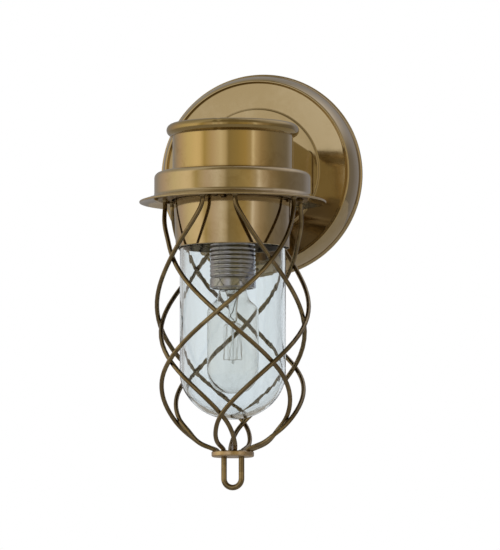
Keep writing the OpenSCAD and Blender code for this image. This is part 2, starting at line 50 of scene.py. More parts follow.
class Tree:
    """Short calls for building a node tree."""

    def __init__(self, owner):
        owner.use_nodes = True
        self.tree = owner.node_tree
        self.tree.nodes.clear()

    def node(self, kind, sockets=None, **props):
        made = self.tree.nodes.new("ShaderNode" + kind)
        for key, value in props.items():
            setattr(made, key, value)
        for key, value in (sockets or {}).items():
            if hasattr(value, "is_output"):
                self.tree.links.new(value, made.inputs[key])
            else:
                made.inputs[key].default_value = value
        return made

    def link(self, out, into):
        self.tree.links.new(out, into)

    def math(self, operation, a, b=0.0, clamp=False):
        return self.node("Math", {0: a, 1: b}, operation=operation, use_clamp=clamp).outputs[0]

    def ranged(self, value, low, high, to_low=0.0, to_high=1.0, smooth=False):
        made = self.node("MapRange", {"Value": value, "From Min": low, "From Max": high,
                                      "To Min": to_low, "To Max": to_high})
        if smooth:
            made.interpolation_type = "SMOOTHSTEP"
        return made.outputs["Result"]

    def ramp(self, value, stops, kind="LINEAR"):
        made = self.node("ValToRGB", {"Fac": value})
        ramp = made.color_ramp
        ramp.interpolation = kind
        while len(ramp.elements) < len(stops):
            ramp.elements.new(1.0)
        for element, (place, colour) in zip(ramp.elements, stops):
            element.position = place
            element.color = (*colour, 1.0) if not isinstance(colour, float) else (colour, colour, colour, 1.0)
        return made.outputs["Color"]

    def mix(self, factor, a, b, blend="MIX"):
        made = self.node("Mix", data_type="RGBA", blend_type=blend)
        for socket, value in ((made.inputs[0], factor), (made.inputs[6], a), (made.inputs[7], b)):
            if hasattr(value, "is_output"):
                self.link(value, socket)
            elif isinstance(value, tuple):
                socket.default_value = (*value, 1.0)
            else:
                socket.default_value = value
        return made.outputs[2]

    def noise(self, where, scale, detail=3.0, rough=0.5, distortion=0.0):
        return self.node("TexNoise", {"Vector": where, "Scale": scale, "Detail": detail,
                                      "Roughness": rough, "Distortion": distortion}).outputs["Fac"]

    def stretched(self, where, scale):
        return self.node("Mapping", {"Vector": where, "Scale": scale}).outputs["Vector"]


def material(name):
    made = bpy.data.materials.new(name)
    return made, Tree(made)


def finish_surface(tree, shader):
    out = tree.node("OutputMaterial")
    tree.link(shader, out.inputs["Surface"])


def metal(name, light, base, dark, rough, grain="turned", coat=0.0, crevice_shade=0.35, mottle=1.0, spots=0.0,
          dent=0.00012):
    """Aged metal: tone that drifts over the surface, small mottling, painted shade in crevices from ambient
    occlusion, worn gloss, and fine lines left by spinning (turned), drawing (drawn) or none (cast)."""
    made, t = material(name)
    where = t.node("TexCoord").outputs["Object"]
    broad = t.noise(where, 16.0, 3.0, 0.5, 0.4)
    small = t.noise(where, 120.0, 6.0, 0.62, 0.6)
    fine = t.noise(where, 900.0, 4.0, 0.6)
    tone = t.math("ADD", t.math("MULTIPLY", broad, 0.55), t.math("MULTIPLY", small, 0.45 * mottle))
    colour = t.ramp(tone, [(0.30, dark), (0.46, base), (0.56, base), (0.72, light)], "EASE")
    if spots:
        spot = t.ranged(t.noise(where, 420.0, 2.0, 0.5), 0.64, 0.72, 0.0, spots)
        colour = t.mix(spot, colour, dark)
    # painted shade: the colour is darkened towards a deep tone wherever ambient occlusion finds crevices,
    # joints and hollows
    if crevice_shade:
        shade = t.node("AmbientOcclusion", {"Distance": 0.003}, samples=6).outputs["AO"]
        painted_shade = t.ranged(shade, 0.35, 0.85, crevice_shade, 0.0, True)
        colour = t.mix(painted_shade, colour, tuple(c * 0.42 for c in dark))
    worn = t.math("ADD", t.math("MULTIPLY", small, 0.6), t.math("MULTIPLY", fine, 0.4))
    gloss = t.ranged(worn, 0.3, 0.7, rough[0], rough[1])
    height = t.math("MULTIPLY", t.noise(where, 60.0, 2.0, 0.5), 1.0)
    bump = t.node("Bump", {"Strength": 0.35, "Distance": dent, "Height": height})
    if grain != "cast":
        scale = (40.0, 40.0, 3800.0) if grain == "turned" else (2600.0, 60.0, 60.0)
        if grain == "faced":
            # lines round the wall's normal: the radius from the plate's centre drives them
            split = t.node("SeparateXYZ", {"Vector": where})
            radius = t.math("SQRT", t.math("ADD", t.math("MULTIPLY", split.outputs[0], split.outputs[0]),
                                           t.math("MULTIPLY", split.outputs[2], split.outputs[2])))
            around = t.node("CombineXYZ", {0: t.math("MULTIPLY", radius, 3000.0),
                                           1: t.math("MULTIPLY", split.outputs[1], 500.0)}).outputs[0]
            lines = t.noise(around, 1.0, 3.0, 0.6)
        else:
            lines = t.noise(t.stretched(where, scale), 1.0, 3.0, 0.6)
        bump = t.node("Bump", {"Strength": 0.12, "Distance": 0.00003, "Height": lines,
                               "Normal": bump.outputs["Normal"]})
    speckle = t.node("Bump", {"Strength": 0.10, "Distance": 0.00004, "Height": fine,
                              "Normal": bump.outputs["Normal"]})
    shader = t.node("BsdfPrincipled", {"Base Color": colour, "Metallic": 1.0, "Roughness": gloss,
                                       "Normal": speckle.outputs["Normal"], "Coat Weight": coat,
                                       "Coat Roughness": 0.12, "Coat IOR": 1.5})
    finish_surface(t, shader.outputs["BSDF"])
    return made


def plain(name, base, second, rough, scale=300.0, bump=0.3, depth=0.0001, specular=0.5):
    """Rubber, plastic, ceramic or insulation: two near tones, uneven gloss and a fine skin."""
    made, t = material(name)
    where = t.node("TexCoord").outputs["Object"]
    cloud = t.noise(where, scale * 0.2, 4.0, 0.6)
    skin = t.noise(where, scale * 4.0, 3.0, 0.6)
    colour = t.mix(t.ranged(cloud, 0.35, 0.65), base, second)
    gloss = t.ranged(skin, 0.3, 0.7, rough - 0.08, rough + 0.08)
    normal = t.node("Bump", {"Strength": bump, "Distance": depth, "Height": skin}).outputs["Normal"]
    shader = t.node("BsdfPrincipled", {"Base Color": colour, "Roughness": gloss, "Normal": normal,
                                       "Specular IOR Level": specular})
    finish_surface(t, shader.outputs["BSDF"])
    return made


def glass(name, tint, wave, wave_scale, streak=0.0, ior=1.45):
    """Clear blown glass with slow waves, which bend what is seen through it. Light reaches what is inside."""
    made, t = material(name)
    where = t.node("TexCoord").outputs["Object"]
    ripple = t.noise(t.stretched(where, (wave_scale, wave_scale, wave_scale * 0.28)), 1.0, 2.0, 0.45)
    normal = t.node("Bump", {"Strength": 1.0, "Distance": wave, "Height": ripple}).outputs["Normal"]
    smear = t.noise(t.stretched(where, (150.0, 150.0, 9.0)), 1.0, 4.0, 0.6)
    gloss = t.ranged(smear, 0.45, 0.8, 0.0, 0.05)
    colour = t.mix(t.ranged(smear, 0.35, 0.65), tint, tuple(c * (1.0 - streak) for c in tint))
    clear = t.node("BsdfPrincipled", {"Base Color": colour, "Roughness": gloss, "Normal": normal,
                                      "IOR": ior, "Transmission Weight": 1.0})
    through = t.node("BsdfTransparent", {"Color": (*tint, 1.0)})
    rays = t.node("LightPath")
    mixed = t.node("MixShader", {0: rays.outputs["Is Shadow Ray"], 1: clear.outputs["BSDF"],
                                 2: through.outputs["BSDF"]})
    finish_surface(t, mixed.outputs["Shader"])
    return made


# ---------- shapes ----------

def smooth(points, steps=5):
    """Catmull-Rom curve through the points, which may have two or three coordinates."""
    pts = [Vector(p) for p in points]
    last = len(pts) - 1
    out = []
    for i in range(last):
        a, b, c, d = pts[max(i - 1, 0)], pts[i], pts[i + 1], pts[min(i + 2, last)]
        for k in range(steps):
            s = k / steps
            out.append(0.5 * (2 * b + (c - a) * s + (2 * a - 5 * b + 4 * c - d) * s * s
                              + (3 * b - a - 3 * c + d) * s ** 3))
    out.append(pts[last])
    return out


def rounded(points, steps=6):
    """Corner points (x, y, radius) to a polyline with round corners; the ends keep their place."""
    out = []
    for i, (x, y, radius) in enumerate(points):
        here = Vector((x, y))
        if radius <= 0 or i in (0, len(points) - 1):
            out.append(here)
            continue
        before = Vector(points[i - 1][:2]) - here
        after = Vector(points[i + 1][:2]) - here
        half = before.angle(after) / 2
        cut = min(radius / math.tan(half), 0.49 * before.length, 0.49 * after.length)
        radius = cut * math.tan(half)
        centre = here + (before.normalized() + after.normalized()).normalized() * radius / math.sin(half)
        start = here + before.normalized() * cut - centre
        end = here + after.normalized() * cut - centre
        turn = math.atan2(start.x * end.y - start.y * end.x, start.dot(end))
        for k in range(steps + 1):
            angle = turn * k / steps
            c, s = math.cos(angle), math.sin(angle)
            out.append(centre + Vector((start.x * c - start.y * s, start.x * s + start.y * c)))
    return out


def arc(cx, cy, rx, ry, a0, a1, steps):
    return [(cx + rx * math.cos(math.radians(a0 + (a1 - a0) * k / steps)),
             cy + ry * math.sin(math.radians(a0 + (a1 - a0) * k / steps))) for k in range(steps + 1)]


def piece(name, verts, faces, body, mat, replaces=(), sharp=38.0):
    """A new mesh piece in millimetres, cleaned, shaded smooth and riding on a body."""
    mesh = bpy.data.meshes.new(name)
    mesh.from_pydata([Vector(v) * MM for v in verts], [], faces)
    work = bmesh.new()
    work.from_mesh(mesh)
    bmesh.ops.remove_doubles(work, verts=work.verts, dist=1e-6)
    bmesh.ops.dissolve_degenerate(work, edges=work.edges, dist=1e-7)
    bmesh.ops.recalc_face_normals(work, faces=work.faces)
    work.to_mesh(mesh)
    work.free()
    mesh.shade_smooth()
    mesh.set_sharp_from_angle(angle=math.radians(sharp))
    made = bpy.data.objects.new(name, mesh)
    bpy.context.scene.collection.objects.link(made)
    made.data.materials.append(mat)
    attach(made, body)
    if replaces:
        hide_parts(*replaces)
    return made


def lathe(profile, segments=SEGMENTS, wobble=None):
    """Vertices and faces of a closed profile (radius, height) turned round the lantern's axis."""
    count = len(profile)
    verts, faces = [], []
    for j in range(segments):
        a = 2 * PI * j / segments
        for i, (r, z) in enumerate(profile):
            r, z = (r, z) if wobble is None else wobble(r, z, a)
            verts.append((r * math.cos(a), AXIS + r * math.sin(a), z))
    for j in range(segments):
        k = (j + 1) % segments
        for i in range(count):
            n = (i + 1) % count
            if profile[i][0] < 1e-6 and profile[n][0] < 1e-6:
                continue
            faces.append((j * count + i, j * count + n, k * count + n, k * count + i))
    return verts, faces


def to_wall(verts, height=0.0):
    """Turns a lathe's result so that its axis is the wall's normal through the plate's centre."""
    return [(x, -z, y - AXIS + height) for x, y, z in verts]


def tube(path, radius, sides=16, caps=True, closed=False):
    """Tube along a path of points, with rings that don't twist; radius may be a list."""
    path = [Vector(p) for p in path]
    count = len(path)
    radii = radius if isinstance(radius, (list, tuple)) else [radius] * count
    verts, faces = [], []
    side = None
    for i in range(count):
        if closed:
            ahead = (path[(i + 1) % count] - path[i - 1]).normalized()
        else:
            ahead = (path[min(i + 1, count - 1)] - path[max(i - 1, 0)]).normalized()
        if side is None:
            side = ahead.orthogonal().normalized()
        side = (side - ahead * side.dot(ahead)).normalized()
        other = ahead.cross(side)
        for j in range(sides):
            a = 2 * PI * j / sides
            verts.append(path[i] + (side * math.cos(a) + other * math.sin(a)) * radii[i])
    rows = count if closed else count - 1
    for i in range(rows):
        n = (i + 1) % count
        for j in range(sides):
            k = (j + 1) % sides
            faces.append((i * sides + j, i * sides + k, n * sides + k, n * sides + j))
    if caps and not closed:
        faces.append(tuple(range(sides)))
        faces.append(tuple((count - 1) * sides + j for j in reversed(range(sides))))
    return verts, faces


def joined(parts):
    """Several (vertices, faces) in one."""
    verts, faces = [], []
    for more, shapes in parts:
        start = len(verts)
        verts.extend(more)
        faces.extend(tuple(i + start for i in face) for face in shapes)
    return verts, faces


def carve(target, cutter_verts, cutter_faces):
    """Cuts a closed shape out of a piece and keeps the result as its mesh."""
    mesh = bpy.data.meshes.new("cutter")
    mesh.from_pydata([Vector(v) * MM for v in cutter_verts], [], cutter_faces)
    cutter = bpy.data.objects.new("cutter", mesh)
    bpy.context.scene.collection.objects.link(cutter)
    cut = target.modifiers.new("cut", "BOOLEAN")
    cut.operation = "DIFFERENCE"
    cut.solver = "EXACT"
    cut.object = cutter
    bpy.context.view_layer.update()
    result = bpy.data.meshes.new_from_object(target.evaluated_get(bpy.context.evaluated_depsgraph_get()))
    target.modifiers.clear()
    old = target.data
    target.data = result
    bpy.data.meshes.remove(old)
    bpy.data.objects.remove(cutter)
    bpy.data.meshes.remove(mesh)
    target.data.shade_smooth()
    target.data.set_sharp_from_angle(angle=math.radians(38))


def block(x0, x1, y0, y1, z0, z1):
    verts = [(x, y, z) for x in (x0, x1) for y in (y0, y1) for z in (z0, z1)]
    faces = [(0, 1, 3, 2), (4, 6, 7, 5), (0, 4, 5, 1), (2, 3, 7, 6), (0, 2, 6, 4), (1, 5, 7, 3)]
    return verts, faces


# ---------- materials ----------

BRASS = metal("aged_brass", (0.58, 0.455, 0.245), (0.52, 0.40, 0.20), (0.43, 0.315, 0.145),
              (0.035, 0.08), "turned", coat=0.2, mottle=0.8, dent=0.00012)
# painted shade: a darker copy of the head's brass for the rolled bead, standing in for the dark ceiling the
# bead reflects
SHADED_BEAD_BRASS = metal("bead_brass_painted_darker", (0.47, 0.365, 0.185), (0.39, 0.295, 0.135), (0.28, 0.20, 0.085),
                   (0.05, 0.12), "turned", coat=0.25, dent=0.00012)
PALE_BRASS = metal("aged_brass_pale", (0.57, 0.475, 0.32), (0.51, 0.42, 0.27), (0.42, 0.33, 0.19),
                   (0.04, 0.10), "turned", coat=0.2, mottle=0.6, dent=0.00010)
PLATE_BRASS = metal("aged_brass_faced", (0.53, 0.45, 0.30), (0.50, 0.415, 0.265), (0.45, 0.36, 0.21),
                    (0.05, 0.11), "faced", coat=0.2, mottle=0.5, dent=0.00005)
NECK_BRASS = metal("aged_brass_sheet", (0.57, 0.45, 0.24), (0.50, 0.385, 0.195), (0.40, 0.295, 0.13),
                   (0.07, 0.15), "cast", coat=0.2, dent=0.00008)
WIRE_BRASS = metal("dark_wire_brass", (0.33, 0.26, 0.14), (0.195, 0.15, 0.08), (0.11, 0.08, 0.04),
                   (0.06, 0.14), "cast", coat=0.35, mottle=1.3, spots=0.2)
DISC_BRASS = metal("worn_disc_brass", (0.56, 0.44, 0.29), (0.40, 0.29, 0.16), (0.19, 0.125, 0.065),
                   (0.20, 0.36), "turned", mottle=1.8, spots=0.7)
DARK_BRASS = metal("unpolished_brass", (0.30, 0.21, 0.10), (0.20, 0.14, 0.065), (0.11, 0.075, 0.035),
                   (0.30, 0.48), "cast", mottle=1.4, spots=0.4)
BRIGHT_BRASS = metal("bright_brass", (0.85, 0.66, 0.32), (0.78, 0.58, 0.25), (0.60, 0.42, 0.17),
                     (0.18, 0.30), "drawn")
ZINC = metal("zinc_plate", (0.66, 0.67, 0.68), (0.56, 0.57, 0.58), (0.40, 0.40, 0.40), (0.28, 0.45), "cast",
             mottle=1.4)
GREY_METAL = metal("holder_metal", (0.56, 0.56, 0.62), (0.46, 0.46, 0.52), (0.32, 0.32, 0.36),
                   (0.08, 0.15), "turned", dent=0.00006)
NICKEL = metal("lamp_cap_metal", (0.78, 0.77, 0.75), (0.66, 0.65, 0.63), (0.48, 0.47, 0.46), (0.2, 0.32),
               "turned")
SOLDER = metal("solder", (0.60, 0.60, 0.61), (0.48, 0.48, 0.49), (0.30, 0.30, 0.31), (0.3, 0.5), "cast")
TUNGSTEN = metal("tungsten_wire", (0.50, 0.46, 0.41), (0.38, 0.34, 0.30), (0.25, 0.22, 0.2), (0.25, 0.4),
                 "cast", crevice_shade=0.0)
RUBBER = plain("black_rubber", (0.018, 0.018, 0.018), (0.035, 0.034, 0.032), 0.62, 300.0, 0.35)
PLASTIC = plain("white_plastic", (0.80, 0.79, 0.74), (0.74, 0.73, 0.69), 0.42, 200.0, 0.2)
CERAMIC = plain("glazed_ceramic", (0.84, 0.82, 0.77), (0.77, 0.75, 0.70), 0.28, 200.0, 0.15)
BROWN = plain("brown_insulation", (0.15, 0.065, 0.03), (0.11, 0.05, 0.025), 0.45, 400.0, 0.2)
BLUE = plain("blue_insulation", (0.02, 0.09, 0.32), (0.02, 0.07, 0.25), 0.45, 400.0, 0.2)
GREEN = plain("green_insulation", (0.10, 0.30, 0.05), (0.08, 0.24, 0.04), 0.45, 400.0, 0.2)
JAR_GLASS = glass("jar_glass_clear", (0.885, 0.925, 0.942), 0.00030, 60.0, 0.07, 1.42)
BULB_GLASS = glass("bulb_glass_clear", (0.97, 0.97, 0.955), 0.00010, 60.0, 0.02, 1.36)
STEM_GLASS = glass("stem_glass_clear", (0.96, 0.97, 0.97), 0.00015, 200.0, 0.01, 1.3)

KEPT = {
    ZINC: ["wall_bracket", "holder_strap", "holder_nipple", "nipple_nuts", "neck_bolts", "neck_nuts",
           "collar_screws", "terminal_screws"],
    RUBBER: ["wall_gasket", "collar_seal", "jar_gasket", "guard_washer"],
    DARK_BRASS: ["head_floor", "cage_ring", "cage_studs", "cover_screw"],
    BRIGHT_BRASS: ["earth_screw", "screw_shell", "centre_contact"],
    PLASTIC: ["terminal_block"],
    CERAMIC: ["lampholder_insert"],
    BROWN: ["live_lead"],
    BLUE: ["neutral_lead"],
    GREEN: ["earth_lead"],
    SOLDER: ["bulb_tip"],
    NICKEL: ["bulb_cap"],
}
for mat, names in KEPT.items():
    for name in names:
        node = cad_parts[name]
        node.data.materials.clear()
        node.data.materials.append(mat)


# ---------- backplate, boss and neck ----------

plate_outer = ([(14.0, 27.0), (60.0, 27.0)]
               + [tuple(p) for p in smooth([(79.0, 27.0), (80.2, 27.12), (81.0, 27.7), (81.9, 28.0),
                                            (82.9, 27.7), (83.7, 26.6), (84.8, 24.0), (86.4, 19.0),
                                            (87.8, 13.0), (88.6, 8.0), (89.0, 4.4), (89.6, 3.2),
                                            (90.5, 2.7), (90.95, 2.1), (91.0, 1.05)], 5)])
plate_inner = [(89.6, 1.05), (88.6, 2.2), (87.6, 4.2), (87.1, 8.0), (86.3, 13.0), (84.9, 18.6), (83.3, 23.4),
               (82.2, 25.4), (79.8, 25.5), (60.0, 25.5), (14.0, 25.5)]
verts, faces = lathe(plate_outer + plate_inner)
piece("backplate_cup", to_wall(verts), faces, "wall_lantern", PLATE_BRASS, ["backplate"])

boss = rounded([(14.0, 27.03, 0), (14.0, 29.5, 0.3), (55.6, 29.5, 0.9), (55.9, 27.75, 0.45), (57.0,
            27.6, 0.35),
                (57.0, 27.03, 0)])
verts, faces = lathe([tuple(p) for p in boss])
piece("backplate_boss", to_wall(verts, 1.0), faces, "wall_lantern", PLATE_BRASS, ["neck_base"])


def neck_loop(inset):
    """Outline of the box neck in x and z, with round corners."""
    w, top, low = 50.4 - inset, 18.4 - inset, -20.5 + inset
    corners = [(-w, low, 2.0), (w, low, 2.0), (w, top, 4.5 - inset / 2), (-w, top, 4.5 - inset / 2)]
    closed = corners[-1:] + corners + corners[:1]
    loop = rounded([(0.0, low, 0)] + closed[2:5] + [corners[0]] + [(0.0, low, 0)], 8)
    loop = loop[:-1]
    out = []
    for i, here in enumerate(loop):
        ahead = loop[(i + 1) % len(loop)]
        parts = max(1, int((ahead - here).length / 3.0))
        out.extend(here.lerp(ahead, k / parts) for k in range(parts))
    return out


def neck_front(x):
    """Where the neck meets the head's cylinder."""
    return AXIS + math.sqrt(max(52.35 ** 2 - x * x, 0.0))


NECK_BACK = -29.55
outer, inner = neck_loop(0.0), neck_loop(1.6)
verts, faces = [], []
rows = 14
for i, p in enumerate(outer):
    for k in range(rows + 1):
        y = NECK_BACK + (neck_front(p.x) - NECK_BACK) * k / rows
        verts.append((p.x, y, p.y))
count = len(outer)
for i in range(count):
    n = (i + 1) % count
    for k in range(rows):
        a = i * (rows + 1) + k
        b = n * (rows + 1) + k
        faces.append((a, b, b + 1, a + 1))
start = len(verts)
for p in inner:
    verts.append((p.x, neck_front(p.x), p.y))
    verts.append((p.x, NECK_BACK - 2.5, p.y))
# both outlines run the same way, so each inner point joins the nearest outer one
nearest = [min(range(len(inner)), key=lambda j: (inner[j] - p).length) for p in outer]
for i in range(count):
    n = (i + 1) % count
    face = [i * (rows + 1) + rows, n * (rows + 1) + rows, start + 2 * nearest[n], start + 2 * nearest[i]]
    face = list(dict.fromkeys(face))
    if len(face) > 2:
        faces.append(tuple(face))
for j in range(len(inner)):
    n = (j + 1) % len(inner)
    faces.append((start + 2 * j, start + 2 * n, start + 2 * n + 1, start + 2 * j + 1))
faces.append(tuple(start + 2 * j + 1 for j in range(len(inner))))
faces.append(tuple(i * (rows + 1) for i in range(count)))
piece("neck_box", verts, faces, "wall_lantern", NECK_BRASS, ["neck"])

# thin soldered seams where the neck meets the head and the boss
ring = outer + outer[:1]
head_seam = [(p.x * 1.001, neck_front(p.x) + 0.35, p.y) for p in ring[:-1]]
verts, faces = tube(head_seam, 0.55, 8, closed=True)
piece("neck_head_solder", verts, faces, "wall_lantern", NECK_BRASS, ())
boss_seam = [(p.x * 1.004, NECK_BACK - 0.35, p.y * 1.004) for p in ring[:-1]]
verts, faces = tube(boss_seam, 0.5, 8, closed=True)
piece("neck_boss_solder", verts, faces, "wall_lantern", DARK_BRASS, ())


# ---------- head ----------

shell = rounded([(50.9, -31.4, 0), (52.5, -31.4, 0.1), (52.5, 24.0, 0.1), (50.9, 24.0, 0)], 2)
tall = []
for i, here in enumerate(shell):
    ahead = shell[(i + 1) % len(shell)]
    parts = max(1, int((ahead - here).length / 4.0))
    tall.extend(tuple(here.lerp(ahead, k / parts)) for k in range(parts))
verts, faces = lathe(tall)
piece("head_cylinder", verts, faces, "wall_lantern", BRASS, ["head_shell"])

# the head's rolled bead, closed by a small hammered joint near the front
JOINT_AT = math.radians(-94.0)


def bead_form(r, z, a):
    near = (a - JOINT_AT + PI) % (2 * PI) - PI
    pinch = 1 - 0.055 * math.exp(-(near / 0.028) ** 2) + 0.02 * math.exp(-((abs(near) - 0.07) / 0.03) ** 2)
    return 52.5 + (r - 52.5) * pinch, 24.0 + (z - 24.0) * pinch


verts, faces = lathe(arc(52.5, 24.0, 5.35, 5.35, 0, 345, 23), 256, bead_form)
piece("rolled_bead", verts, faces, "wall_lantern", SHADED_BEAD_BRASS, ["bead_ring"])

cap = [(0.0, 26.9)] + [(r, 21.0 + 5.9 * (1 - (r / 50.75) ** 2) ** 0.94) for r in range(4, 49, 4)]
cap += [(49.6, 21.55), (50.6, 21.2), (50.8, 20.6), (50.2, 20.1), (48.9, 20.2)]
cap += [(r, 19.4 + 5.9 * (1 - (r / 50.75) ** 2) ** 0.94) for r in range(46, 1, -4)] + [(0.0, 25.3)]
verts, faces = lathe([tuple(p) for p in smooth(cap[:13], 2)] + cap[13:])
piece("head_lid", verts, faces, "wall_lantern", BRASS, ["head_cap"])

skirt = ([(52.56, -11.5), (60.0, -12.35)]
         + arc(63.4, -18.2, 5.0, 5.0, 84, 0, 10)
         + [(68.4, -24.0), (68.4, -31.5)]
         + arc(72.4, -31.5, 4.0, 4.0, 186, 238, 8)
         + [(75.0, -36.0), (80.4, -37.85)]
         + arc(80.7, -38.8, 0.8, 0.85, 75, -105, 8)
         + [(75.0, -37.85), (70.2, -36.35)]
         + arc(72.4, -31.5, 5.6, 5.6, 238, 186, 6)
         + [(66.8, -29.0), (66.8, -20.0)]
         + arc(63.4, -18.2, 3.4, 3.4, 0, 84, 6)
         + [(60.0, -13.95), (52.56, -13.1)])
verts, faces = lathe(skirt)
skirt_piece = piece("skirt_and_brim", verts, faces, "wall_lantern", PALE_BRASS, ["skirt"])
carve(skirt_piece, *block(-50.5, 50.5, AXIS + 12, -20.0, -20.6, 0.0))

collar = rounded([(41.5, -33.52, 0), (51.7, -33.52, 0.6), (49.6, -79.0, 0.85), (48.05, -79.0, 0.4),
                  (48.0, -73.0, 0), (48.7, -49.2, 0), (43.6, -49.2, 0), (43.6, -47.4, 0), (49.5, -47.4, 0),
                  (49.7, -35.5, 0), (41.5, -35.5, 0)])
verts, faces = lathe([tuple(p) for p in collar])
piece("glass_collar", verts, faces, "wall_lantern", PALE_BRASS, ["collar"])


# ---------- lampholder, jar and bulb ----------

barrel = [(18.0, -114.3), (19.0, -114.4)] + arc(18.9, -113.3, 1.1, 1.1, -80, 0, 4) + [(20.0, -106.6)]
barrel += [(19.6, -105.8), (19.1, -105.2)]
z = -104.6
for turn in range(9):
    barrel += [(19.45, z), (19.65, z + 0.4), (19.95, z + 1.1), (20.0, z + 1.75), (19.95, z + 2.4),
               (19.65, z + 3.1), (19.45, z + 3.5)]
    z += 3.9
barrel += [(19.1, -67.6), (18.4, -66.9), (9.6, -60.2), (8.8, -60.0), (5.1, -60.0), (5.1, -69.6), (17.9,
            -69.9)]
verts, faces = lathe(barrel, 128)
piece("lampholder_barrel", verts, faces, "wall_lantern", GREY_METAL, ["lampholder_shell"],
      50.0)

jar_out = [(43.7, -52.0), (45.2, -52.0), (46.0, -52.5)]
for z in (-56.0, -61.0):
    jar_out += [(46.1, z + 1.9), (46.5, z + 1.2), (47.15, z + 0.4), (47.15, z - 0.4), (46.5, z - 1.2),
                (46.1, z - 1.9)]
jar_out += [(46.1, -70.0 - 9.0 * k) for k in range(13)]
jar_out += arc(0, -187.0, 46.1, 41.3, -1.5, -90, 30)
jar_in = arc(0, -187.0, 43.6, 38.2, -90, -1.5, 30) + [(43.6, -178.0 + 9.0 * k) for k in range(14)]
verts, faces = lathe(jar_out + jar_in, 160)
piece("screw_jar", verts, faces, "jar", JAR_GLASS, ["glass_jar"], 60.0)

bulb_out = [tuple(p) for p in smooth(
    [(1.5, -115.7), (7.0, -115.7), (11.4, -115.8), (12.6, -117.6), (13.2, -121.0), (15.6, -125.2),
     (19.6, -128.6), (21.9, -132.4), (22.45, -137.5), (22.5, -150.0), (22.5, -165.0), (22.5, -178.0),
     (22.4, -186.0), (21.4, -192.0), (18.6, -198.4), (13.6, -203.2), (7.0, -205.7), (0.0, -206.1)], 4)]
bulb_in = [(max(r - 0.4, 0.0), z + (0.4 if z < -190 else 0.0)) for r, z in reversed(bulb_out)]
bulb_in = [(max(r, 1.5) if z > -117 else r, min(z, -116.2)) for r, z in bulb_in]
verts, faces = lathe(bulb_out + bulb_in, 128)
piece("bulb_envelope", verts, faces, "bulb", BULB_GLASS, ["bulb_glass"], 60.0)

stem = [tuple(p) for p in smooth([(0.0, -116.7), (6.5, -116.8), (5.4, -120.0), (4.2, -128.0), (3.6, -136.0),
                                  (4.2, -140.0), (3.0, -143.5), (1.2, -145.4), (0.9, -149.0), (0.9, -176.0),
                                  (1.5, -178.2), (0.0, -180.0)], 4)]
verts, faces = lathe(stem, 40)
piece("bulb_stem_glass", verts, faces, "bulb", STEM_GLASS, ["bulb_stem"], 60.0)

# long-thread filament: strands strung between two rings of hooks, and the two wires that feed it
HOOKS = 8
strings = []
top_z, low_z, top_r, low_r = -147.0, -176.5, 7.6, 8.4
for i in range(HOOKS):
    a = 2 * PI * (i + 0.3) / HOOKS
    b = 2 * PI * (i + 0.8) / HOOKS
    c = 2 * PI * (i + 1.3) / HOOKS
    high = Vector((top_r * math.cos(a), AXIS + top_r * math.sin(a), top_z))
    low = Vector((low_r * math.cos(b), AXIS + low_r * math.sin(b), low_z))
    far = Vector((top_r * math.cos(c), AXIS + top_r * math.sin(c), top_z))
    for start, end in ((high, low), (low, far)):
        path = [start.lerp(end, k / 10) + Vector((0.25 * math.sin(k * 2.1 + i), 0.25 * math.cos(k * 1.7), 0))
                * (0 < k < 10) for k in range(11)]
        strings.append(tube(path, 0.11, 6))
    for end, root in ((high, (0.0, AXIS, -144.0)), (low, (0.0, AXIS, -177.0))):
        strings.append(tube([root, Vector(root).lerp(end, 0.5) + Vector((0, 0, 0.6)), end,
                             end + Vector((0, 0, 0.5))], 0.10, 6))
for s in (-1, 1):
    strings.append(tube(smooth([(s * 2.0, AXIS, -140.0), (s * 3.4, AXIS, -144.0), (s * 6.4, AXIS, -145.6),
                                (s * top_r, AXIS, top_z)], 4), 0.20, 8))
verts, faces = joined(strings)
piece("bulb_filament", verts, faces, "bulb", TUNGSTEN, ["filament"])


# ---------- guard ----------

# [height, radius, angle run round the axis] of the guard's outline, as the CAD has it
OUTLINE = [(-37.1, 59.0, 0.0), (-46.0, 59.2, 1.0), (-58.0, 60.4, 7.0), (-72.0, 61.3, 16.0),
           (-90.0, 62.5, 29.0), (-110.0, 63.4, 46.0), (-140.0, 64.2, 76.0), (-181.0, 64.6, 120.0),
           (-204.0, 60.6, 143.0), (-227.0, 50.0, 165.0), (-241.0, 38.2, 176.0), (-249.0, 29.3, 181.0),
           (-254.2, 17.0, 185.0), (-256.2, 15.0, 185.5)]
GUARD_TURN = -2.3
WIRE_R = 2.0


def ease(t):
    t = min(max(t, 0.0), 1.0)
    return t * t * (3 - 2 * t)


line = smooth(OUTLINE, 7)


def wire(hand, quarter):
    """The middle line of one guard wire; the two hands pass on either side of the guard's surface."""
    path = []
    for i, s in enumerate(line):
        before, after = line[max(i - 1, 0)], line[min(i + 1, len(line) - 1)]
        normal = Vector((before.x - after.x, after.y - before.y)).normalized()
        off = -hand * (WIRE_R + 0.02) * min(ease((s.z - 2) / 18), ease((185.5 - s.z) / 14))
        r = s.y + off * normal.x
        a = math.radians(270 + GUARD_TURN + 90 * quarter + hand * (14 + s.z))
        path.append((r * math.cos(a), AXIS + r * math.sin(a), s.x + off * normal.y))
    return path


for i in range(8):
    path = wire(-1 if i % 2 == 0 else 1, i // 2)
    verts, faces = tube(path, WIRE_R * 0.995, 18)
    name = "cage_wire_%d" % (i + 1)
    piece("guard_wire_%d" % (i + 1), verts, faces, "guard", WIRE_BRASS, [name])
    # brazed foot under the ring
    x, y, z = path[0]
    foot = [(x, y, -37.1), (x, y, -37.5), (x, y, -38.1), (x, y, -39.0)]
    verts, faces = tube(foot, [3.0, 2.75, 2.3, 2.05], 18)
    piece("guard_braze_%d" % (i + 1), verts, faces, "guard", WIRE_BRASS, ())

